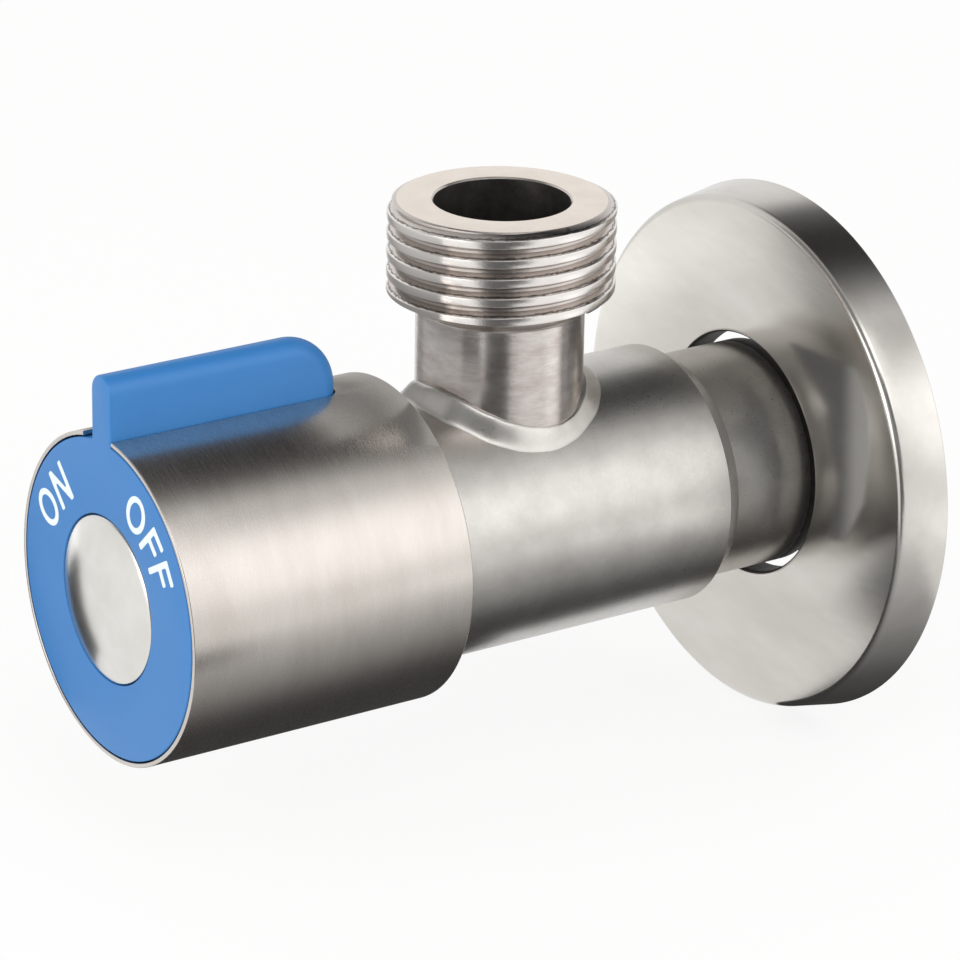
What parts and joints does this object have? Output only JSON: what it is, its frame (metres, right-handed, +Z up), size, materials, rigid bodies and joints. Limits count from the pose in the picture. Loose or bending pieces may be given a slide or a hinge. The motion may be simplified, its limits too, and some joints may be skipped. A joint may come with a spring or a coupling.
{
  "type": "appliance shutoff valve",
  "caption": "Angle-pattern quarter-turn shutoff valve: threaded inlet with a loose wall plate, threaded upright outlet, and a steel sleeve handle with a blue lever over a disc cartridge.",
  "frame": {"origin": "on the valve's axis, in the wall plane that the cover plate's rim lies on", "axes": "+Y along the valve's axis into the wall, +Z up along the outlet, +X to the right of someone who faces the handle"},
  "size_m": [0.0516, 0.0849, 0.0561],
  "materials": {
    "body_steel": "satin blasted stainless steel",
    "nozzle_steel": "turned stainless steel",
    "plate_steel": "satin brushed stainless sheet",
    "shell_steel": "stainless sleeve brushed around its axis",
    "blue_plastic": "satin moulded plastic",
    "cap_metal": "satin domed cap",
    "hub_plastic": "moulded plastic",
    "screw_steel": "plain steel",
    "cartridge_brass": "machined brass",
    "seal_rubber": "black sealing rubber",
    "white_plastic": "white acetal",
    "disc_ceramic": "lapped ceramic"
  },
  "bodies": {
    "valve": {"valve_body": "body_steel", "outlet_nozzle": "nozzle_steel", "cartridge_housing": "cartridge_brass", "glide_washer": "white_plastic", "fixed_disc": "disc_ceramic", "seat_gasket": "seal_rubber", "gasket_support_ring": "white_plastic", "housing_o_ring": "seal_rubber"},
    "handle": {"handle_shell": "shell_steel", "lever_dial": "blue_plastic", "centre_cap": "cap_metal", "handle_hub": "hub_plastic", "handle_screw": "screw_steel", "spindle": "cartridge_brass", "stop_washer": "screw_steel", "spindle_circlip": "screw_steel", "upper_stem_o_ring": "seal_rubber", "lower_stem_o_ring": "seal_rubber", "moving_disc": "disc_ceramic"},
    "cover_plate": {"escutcheon": "plate_steel"}
  },
  "joints": [
    {"name": "handle_turn", "type": "hinge", "parent": "valve", "child": "handle", "pos_m": [0, -0.06, 0], "axis": [0, -1, 0], "range_deg": [0, 90]},
    {"name": "plate_slide", "type": "slide", "parent": "valve", "child": "cover_plate", "axis": [0, -1, 0], "range_m": [0, 0.0084]}
  ]
}
